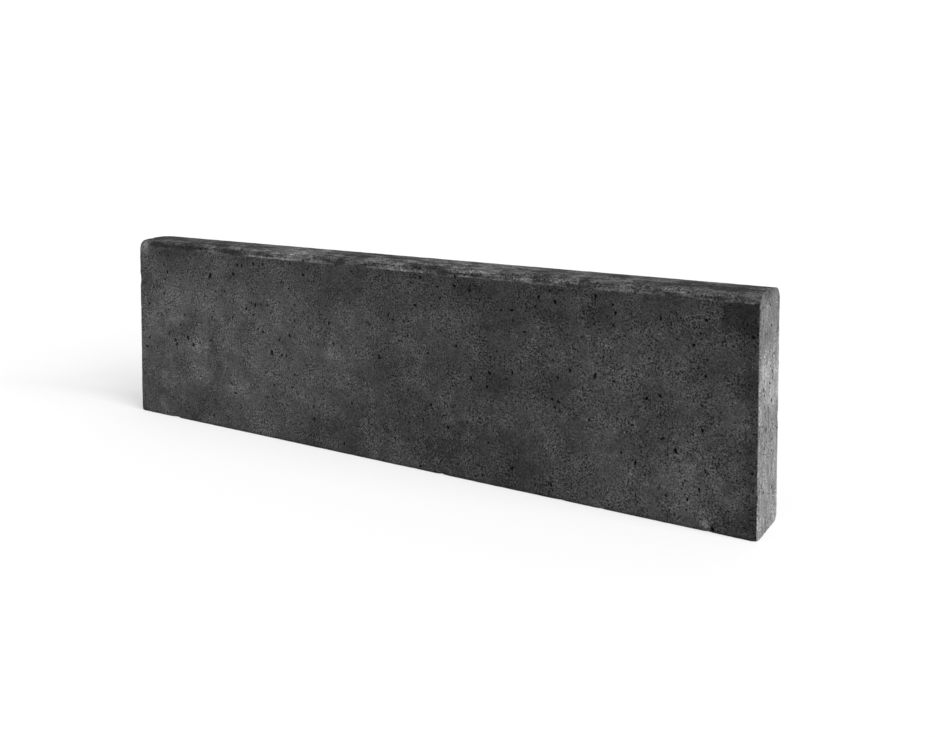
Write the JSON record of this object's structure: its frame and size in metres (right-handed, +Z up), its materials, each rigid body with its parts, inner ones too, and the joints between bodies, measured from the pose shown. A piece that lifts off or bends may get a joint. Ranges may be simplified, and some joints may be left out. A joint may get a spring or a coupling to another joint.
{
  "type": "kerb stone",
  "caption": "Long upright concrete kerb stone with flat faces, a low crowned top with rounded shoulders, and square butt ends.",
  "frame": {"origin": "middle of the bed face, the underside that the stone stands on", "axes": "+X along the kerb line, +Y from the front face through the thickness to the back face, +Z up"},
  "size_m": [1, 0.08, 0.28],
  "materials": {
    "concrete": "matte"
  },
  "bodies": {
    "root": {"kerb": "concrete"}
  },
  "joints": []
}
